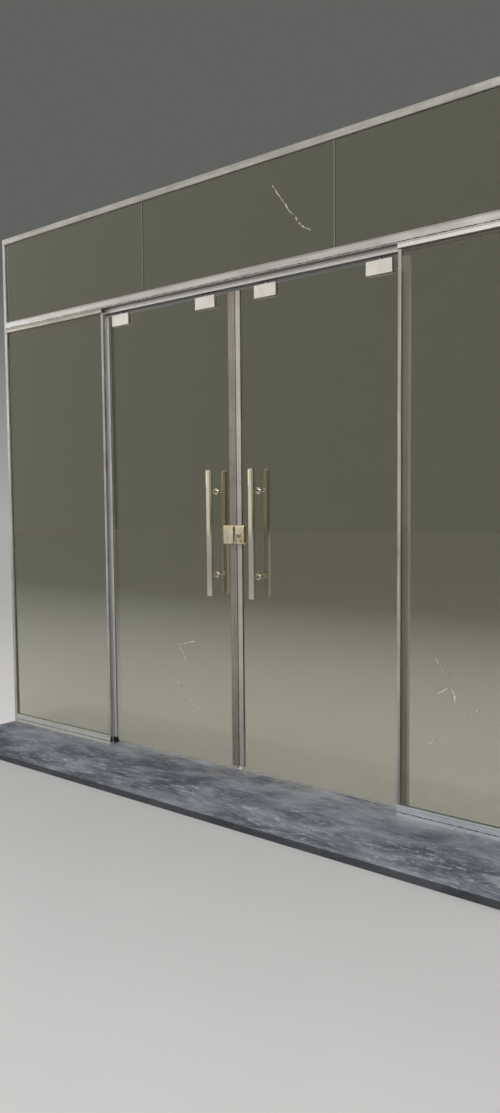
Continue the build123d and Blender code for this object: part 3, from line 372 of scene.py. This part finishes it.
FINISHES = {
    "dark_stone": dusty_granite(),
    # The header and its channels are anodised bright; painted light lifts its low recess, painted shade
    # darkens faces that look down
    "polished_aluminium": extruded_aluminium(
        "bright_anodised_aluminium", "#bdbdbc", "#d6d6d5", 0.33, "X", dust_share=0.1,
        painted_light_low=FASCIA_FOOT, dirty_groove=HEADER_GROOVE, shade_from_below=0.9),
    # The wall channels and edge profiles have the plain satin of the anodising
    "satin_aluminium": extruded_aluminium("satin_anodised_aluminium", "#a2a19c", "#c6c5c0", 0.26, "Z"),
    # The trailing stiles behind the fixed panels are painted pale, as painted light that the glass keeps from
    # them, and dust covers most of their faces
    "stile_aluminium": extruded_aluminium(
        "dusty_stile_painted_light_aluminium", "#dddcd7", "#eeede8", 0.3, "Z", "#e6e6e4", 0.9),
    "clear_glass": float_glass(),
    # Clear silicone sets glossy and milky
    "clear_silicone": moulded("clear_silicone", "#a5aca2", "#c2c7be", 0.3, 20, clearness=0.35, bend=1.41),
    # Extruded rubber is matt black, greyed where dust sits
    "black_rubber": moulded("black_rubber", "#151515", "#2e2d2b", 0.6, 12),
    # Woven pile seals are a dull silver grey, with threads about 0.1 mm thick drawn 2 mm apart
    "brush_pile": moulded("silver_grey_pile", "#97999b", "#b4b5b6", 0.85, 2, depth_mm=0.2),
    # Moulded nylon has a soft waxy gloss
    "black_nylon": moulded("black_nylon", "#1d1d1c", "#3a3835", 0.4, 15, bend=1.53),
    # Bright zinc plate is bluish and slightly spangled
    "zinc_steel": worked_metal("zinc_plated_steel", "#a2a8ad", "#c0c5c8", 0.3, 2.0, cloud_mm=12),
    # Turned steel is a bright grey, with the tool's fine grain drawn 0.5 mm wide across the tread
    "wheel_steel": worked_metal("turned_steel", "#8d8d8f", "#a8a8aa", 0.2, 0.5, (1, 20, 1), cloud_mm=12),
    # Ground stainless plate has a soft bright face; its grain, 0.2 mm wide, is drawn 5 mm wide along it
    "satin_stainless": worked_metal(
        "ground_stainless_steel", "#e8e5e3", "#f3f1ef", 0.34, 5, (40, 1, 1), 0.004),
    # Buffed tube is a clear mirror with the faintest lengthwise haze
    "polished_stainless": worked_metal(
        "buffed_stainless_steel", "#d8d1c1", "#e5dfd1", 0.07, 4, (1, 1, 60), 0.002, 150),
    # Nickel plate over a zinc casting is glossy and warm, with the gentle ripple of the casting
    "plated_case": worked_metal(
        "plated_zinc_casting", "#e3d3a5", "#f8f3e4", 0.08, 14, depth_mm=0.2, cloud_mm=30),
    # Turned brass is deep yellow, with a fine even grain
    "brass": worked_metal("turned_brass", "#a98a49", "#c2a361", 0.16, 0.4, cloud_mm=10),
    # Nickel plate over stamped brass is bright, dulled a little by handling
    "nickel_key": worked_metal("nickel_plated_brass", "#c6c4bd", "#e4e2da", 0.16, 0.5, cloud_mm=12),
}

# Finishes of single pieces that differ from the rest of their kind
SINGLE_FINISHES = {
    # The bottom channels lie under building dust, which turns their metal pale and dull
    "bottom_channel_left": extruded_aluminium(
        "dusty_sill_aluminium_left", "#cfd0ce", "#e6e7e5", 0.34, "X", "#deddd6", 0.9,
        dirty_groove=CHANNEL_GROOVE),
    "bottom_channel_right": extruded_aluminium(
        "dusty_sill_aluminium", "#c9cdd4", "#e4e7ec", 0.34, "X", "#d3d6dd", 0.95,
        dirty_groove=CHANNEL_GROOVE),
    # The head channel is of the wall channels' stock, and its die lines run across the front
    "head_channel": extruded_aluminium("satin_head_aluminium", "#a2a19c", "#c6c5c0", 0.26, "X"),
    # The left top channel is painted greyer than the header that it hangs from, as painted shade
    "fixed_top_channel_left": extruded_aluminium(
        "painted_shade_top_channel_aluminium", "#a39e94", "#bfbab0", 0.33, "X", dust_share=0.1),
    # The left meeting stile is browner and darker than the right one
    "lead_stile_left": extruded_aluminium("brown_anodised_stile", "#857d72", "#a19a8e", 0.3, "Z"),
    "lead_stile_right": extruded_aluminium("pale_anodised_stile", "#bab5ae", "#d3cfc8", 0.3, "Z"),
}

slot_of = {part["node"]: part["material_slot"] for part in frame["record"]["subparts"]}
for name, part in frame["nodes"].items():
    part.data.materials.clear()
    part.data.materials.append(SINGLE_FINISHES.get(name) or FINISHES[slot_of[name]])


# Pieces modelled over the CAD: the keys and their split ring
def clear_selection():
    """Leaves edit mode, with nothing selected."""
    if bpy.context.mode != "OBJECT":
        bpy.ops.object.mode_set(mode="OBJECT")
    bpy.ops.object.select_all(action="DESELECT")


def choose(piece):
    """Makes one piece the only selected and active one."""
    clear_selection()
    piece.select_set(True)
    bpy.context.view_layer.objects.active = piece


def pick(piece, kind, wanted):
    """In edit mode, selects only the faces or vertices for which wanted is true."""
    bpy.ops.mesh.select_mode(type=kind)
    bpy.ops.mesh.select_all(action="DESELECT")
    mesh = bmesh.from_edit_mesh(piece.data)
    for item in mesh.faces if kind == "FACE" else mesh.verts:
        item.select_set(wanted(item))
    mesh.select_flush_mode()
    bmesh.update_edit_mesh(piece.data)


def apply_modifier(piece, kind, **settings):
    """Puts one modifier with its settings on a piece and applies it."""
    choose(piece)
    added = piece.modifiers.new(kind.lower(), kind)
    for name, value in settings.items():
        setattr(added, name, value)
    bpy.ops.object.modifier_apply(modifier=added.name)


def drill(piece, place, radius, depth, turn):
    """Bores a round hole through a piece."""
    clear_selection()
    bpy.ops.mesh.primitive_cylinder_add(
        vertices=32, radius=radius, depth=depth, location=place, rotation=turn)
    bit = bpy.context.object
    apply_modifier(piece, "BOOLEAN", operation="DIFFERENCE", object=bit, solver="EXACT")
    bpy.data.objects.remove(bit)


def settle(piece, name, body, material_slot, finish, *stands_for):
    """Puts a finished piece's place into its mesh, names it, and has it move with its body for a CAD node."""
    choose(piece)
    bpy.ops.object.transform_apply(location=True, rotation=True, scale=True)
    bpy.ops.object.shade_smooth_by_angle(angle=math.radians(35))
    piece.name = name
    piece.data.name = name
    piece.data.materials.clear()
    piece.data.materials.append(finish)
    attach(piece, body)
    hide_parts(*stands_for)


KEY_THICKNESS = 2 * MM
BOW_RADIUS = 11 * MM
BOW_RIM = 1.7 * MM
HOLLOW_SHARE = 0.7  # thickness left in the pressed hollow of the bow
KEY_HOLE_LIFT = 6.4 * MM  # middle of the bow to the middle of its hole
KEY_HOLE_RADIUS = 2.6 * MM
BLADE_THICKNESS = 0.9 * KEY_THICKNESS
BLADE_HALF = 4 * MM
BLADE_TOP = -0.8 * BOW_RADIUS  # from the middle of the bow, as BLADE_END is
BLADE_END = -39 * MM
TIP_LINE = -1.5 * MM  # line that the tip narrows towards, off the blade's middle
TIP_SHARE = (0.7, 0.35, 1)
KEY_CUTS = (  # level and depth of each point of the cut edge, in millimetres
    (-16, 0.0), (-18.5, 2.2), (-21.5, 1.0), (-24, 2.8), (-27, 1.6), (-30, 3.0), (-33, 1.2), (-36, 2.4))
EDGE_ROUND = 0.2 * MM
NEAR = 0.1 * MM  # how near a point lies to a level that it belongs to


def key_blank():
    """A key that hangs by its bow, with its middle at the origin and its blade down."""
    clear_selection()
    bpy.ops.mesh.primitive_cylinder_add(
        vertices=64, radius=BOW_RADIUS, depth=KEY_THICKNESS, rotation=(0, QUARTER, 0))
    bow = bpy.context.object
    bpy.ops.object.transform_apply(rotation=True)
    bpy.ops.object.mode_set(mode="EDIT")
    # A pressed hollow inside a raised rim, on both sides
    pick(bow, "FACE", lambda face: abs(face.normal.x) > 0.9)
    bpy.ops.mesh.inset(thickness=BOW_RIM)
    bpy.ops.transform.resize(value=(HOLLOW_SHARE, 1, 1), center_override=(0, 0, 0))
    bpy.ops.object.mode_set(mode="OBJECT")

    bpy.ops.object.select_all(action="DESELECT")
    bpy.ops.mesh.primitive_cube_add(size=1, location=(0, 0, (BLADE_TOP + BLADE_END) / 2))
    blade = bpy.context.object
    blade.scale = (BLADE_THICKNESS, 2 * BLADE_HALF, BLADE_TOP - BLADE_END)
    bpy.ops.object.transform_apply(location=True, scale=True)
    bpy.ops.object.mode_set(mode="EDIT")
    for level, depth in KEY_CUTS:
        bpy.ops.mesh.select_all(action="SELECT")
        bpy.ops.mesh.bisect(plane_co=(0, 0, level * MM), plane_no=(0, 0, 1))
        pick(blade, "VERT", lambda point: (
            point.co.y > 0.9 * BLADE_HALF and abs(point.co.z - level * MM) < NEAR))
        bpy.ops.transform.translate(value=(0, -depth * MM, 0))
    # The tip narrows
    pick(blade, "VERT", lambda point: point.co.z < BLADE_END + NEAR)
    bpy.ops.transform.resize(value=TIP_SHARE, center_override=(0, TIP_LINE, BLADE_END))
    bpy.ops.object.mode_set(mode="OBJECT")

    apply_modifier(bow, "BOOLEAN", operation="UNION", object=blade, solver="EXACT")
    bpy.data.objects.remove(blade)
    drill(bow, (0, 0, KEY_HOLE_LIFT), KEY_HOLE_RADIUS, 4 * KEY_THICKNESS, (0, QUARTER, 0))
    apply_modifier(
        bow, "BEVEL", width=EDGE_ROUND, segments=2, limit_method="ANGLE", angle_limit=math.radians(40))
    return bow


def own_copy(piece):
    """A copy of a piece with its own mesh."""
    twin = piece.copy()
    twin.data = piece.data.copy()
    bpy.context.collection.objects.link(twin)
    return twin


KEY_BOW = Vector((29, -15, 1174)) * MM
SPARE_BOW = Vector((29, -21.4, 1146.6)) * MM
RING_PLACE = Vector((29, -21.4, 1163.5)) * MM
RING_RADIUS = 9 * MM
WIRE_RADIUS = 0.42 * MM
TURN_PITCH = 1.9 * WIRE_RADIUS  # the two turns of the ring press together
PLUG_DEPTH = 11 * MM  # how far the blade stands in the lock

hanging_key = key_blank()
turned_key = own_copy(hanging_key)

# The key in the lock lies level with its blade inwards, and ends inside the plug
choose(turned_key)
turned_key.rotation_euler = (QUARTER, 0, 0)
turned_key.location = KEY_BOW
bpy.ops.object.transform_apply(location=True, rotation=True)
bpy.ops.object.mode_set(mode="EDIT")
bpy.ops.mesh.select_all(action="SELECT")
bpy.ops.mesh.bisect(plane_co=(0, PLUG_DEPTH, 0), plane_no=(0, 1, 0), use_fill=True, clear_outer=True)
bpy.ops.object.mode_set(mode="OBJECT")
settle(turned_key, "bitted_key", "key_and_plug", "nickel_key", FINISHES["nickel_key"], "key")

# Two turns of wire make the split ring, which goes through both bows
clear_selection()
bpy.ops.mesh.primitive_torus_add(
    major_segments=64, minor_segments=12, major_radius=RING_RADIUS, minor_radius=WIRE_RADIUS,
    location=RING_PLACE + Vector((0, TURN_PITCH / 2, 0)), rotation=(QUARTER, 0, 0))
split_ring = bpy.context.object
apply_modifier(split_ring, "ARRAY", count=2, use_relative_offset=False, use_constant_offset=True,
               constant_offset_displace=(0, 0, TURN_PITCH))
choose(hanging_key)
hanging_key.location = SPARE_BOW
bpy.ops.object.transform_apply(location=True)
split_ring.select_set(True)
bpy.ops.object.join()
settle(hanging_key, "spare_key_on_ring", "hanging_key", "nickel_key", FINISHES["nickel_key"], "key_bunch")


# Floor, world, lamps and camera
def studio_floor():
    """Plain pale floor. Seen through the glass it fades out behind the front, as an unlit floor does."""
    material, tree = new_finish("pale_floor")
    place = node(tree, "ShaderNodeTexCoord")
    haze = node(tree, "ShaderNodeTexNoise", {
        "Vector": place.outputs["Object"], "Scale": every(400), "Detail": 3.0})
    pale = node(tree, "ShaderNodeMix", {
        AMOUNT: haze.outputs["Fac"], FIRST: colour("#d2cfce"), SECOND: colour("#d8d5d4")}, data_type="RGBA")
    depth = node(tree, "ShaderNodeSeparateXYZ", {"Vector": place.outputs["Object"]}).outputs["Y"]
    inside = node(tree, "ShaderNodeMapRange", {"Value": depth, FROM_LOW: 0.6, FROM_HIGH: 6.0})
    ray = node(tree, "ShaderNodeLightPath")
    unlit = node(tree, "ShaderNodeMath", {
        0: inside.outputs[0], 1: ray.outputs["Is Transmission Ray"]}, operation="MULTIPLY")
    shown = node(tree, "ShaderNodeMix", {
        AMOUNT: unlit.outputs[0], FIRST: pale.outputs[MIXED], SECOND: colour("#817f70")}, data_type="RGBA")
    surface = node(tree, "ShaderNodeBsdfPrincipled", {"Base Color": shown.outputs[MIXED], "Roughness": 0.75})
    node(tree, "ShaderNodeOutputMaterial", {"Surface": surface.outputs[0]})
    return material


def studio_world():
    """An even pale dome that lights the object, and what glass, metal and the camera see in its place."""
    world = bpy.data.worlds.new("studio")
    world.use_nodes = True
    tree = world.node_tree
    tree.nodes.clear()
    direction = node(tree, "ShaderNodeTexCoord").outputs["Generated"]
    rise = node(tree, "ShaderNodeSeparateXYZ", {"Vector": direction}).outputs["Z"]
    ray = node(tree, "ShaderNodeLightPath")
    upwards = node(tree, "ShaderNodeMapRange", {"Value": rise, FROM_LOW: -0.1, FROM_HIGH: 0.7})
    dome = node(tree, "ShaderNodeMix", {
        AMOUNT: upwards.outputs[0], FIRST: colour("#a7a9a9"), SECOND: colour("#d3d5d5")}, data_type="RGBA")

    # What glass and metal show is bright before the front and to its left, and dim behind it
    inward = node(tree, "ShaderNodeVectorMath", {0: direction, 1: (0.45, 0.89, 0)}, operation="DOT_PRODUCT")
    inward = node(tree, "ShaderNodeMapRange", {
        "Value": inward.outputs["Value"], FROM_LOW: -0.65, FROM_HIGH: 0.1})
    sights = node(tree, "ShaderNodeMix", {
        AMOUNT: inward.outputs[0], FIRST: colour("#dedad0"), SECOND: colour("#53544a")}, data_type="RGBA")
    indirect = node(tree, "ShaderNodeMath", {
        0: ray.outputs["Is Glossy Ray"], 1: ray.outputs["Is Transmission Ray"]}, operation="MAXIMUM")
    mirrored = node(tree, "ShaderNodeMix", {
        AMOUNT: indirect.outputs[0], FIRST: dome.outputs[MIXED], SECOND: sights.outputs[MIXED]},
        data_type="RGBA")

    # What stands behind the object is a grey backdrop that darkens upwards
    rising = node(tree, "ShaderNodeMapRange", {"Value": rise, FROM_LOW: -0.02, FROM_HIGH: 0.26})
    backdrop = node(tree, "ShaderNodeMix", {
        AMOUNT: rising.outputs[0], FIRST: colour("#a8aaa8"), SECOND: colour("#60625f")}, data_type="RGBA")
    seen = node(tree, "ShaderNodeMix", {
        AMOUNT: ray.outputs["Is Camera Ray"], FIRST: mirrored.outputs[MIXED],
        SECOND: backdrop.outputs[MIXED]}, data_type="RGBA")
    background = node(tree, "ShaderNodeBackground", {"Color": seen.outputs[MIXED], "Strength": 1.0})
    node(tree, "ShaderNodeOutputWorld", {"Surface": background.outputs[0]})
    return world


FLOOR_SIZE = 60  # m
FLOOR_DROP = 0.5 * MM  # so that it doesn't meet the underside of the stone
LAMPS = (  # name, place, what it faces, width and height, all in metres, and its power in watts
    ("sky_lamp", (3.0, -4.5, 5.2), (0, 0, 1.2), (3.0, 2.0), 130),
    ("left_lamp", (-5.6, -2.0, 2.8), (0, 0, 1.2), (0.6, 2.6), 24),
    ("right_lamp", (4.6, -1.2, 2.4), (0, 0, 1.2), (0.4, 2.4), 4),
    ("indoor_lamp", (0.3, 1.3, 4.8), (0, 0.1, 1.0), (2.5, 1.0), 60),
)

clear_selection()
bpy.ops.mesh.primitive_plane_add(size=FLOOR_SIZE, location=(0, 0, -FLOOR_DROP))
floor = bpy.context.object
floor.name = "studio_floor"
floor.data.materials.append(studio_floor())
bpy.context.scene.world = studio_world()

for name, place, aim, (width, tall), power in LAMPS:
    bpy.ops.object.light_add(type="AREA", location=place)
    lamp = bpy.context.object
    lamp.name = name
    lamp.data.shape = "RECTANGLE"
    lamp.data.size = width
    lamp.data.size_y = tall
    lamp.data.energy = power
    lamp.rotation_euler = (Vector(aim) - Vector(place)).to_track_quat("-Z", "Y").to_euler()

bpy.ops.object.camera_add()
camera = bpy.context.object
camera.name = "photo_camera"
camera.matrix_world = (
    Matrix.Translation(CAMERA_PLACE)
    @ Matrix.Rotation(math.radians(CAMERA_YAW), 4, "Z")
    @ Matrix.Rotation(math.radians(90 + CAMERA_PITCH), 4, "X")
    @ Matrix.Rotation(math.radians(CAMERA_ROLL), 4, "Z")
)
camera.data.sensor_width = CAMERA_FILM
camera.data.lens = CAMERA_LENS
bpy.context.scene.camera = camera
bpy.context.scene.view_settings.view_transform = "Standard"
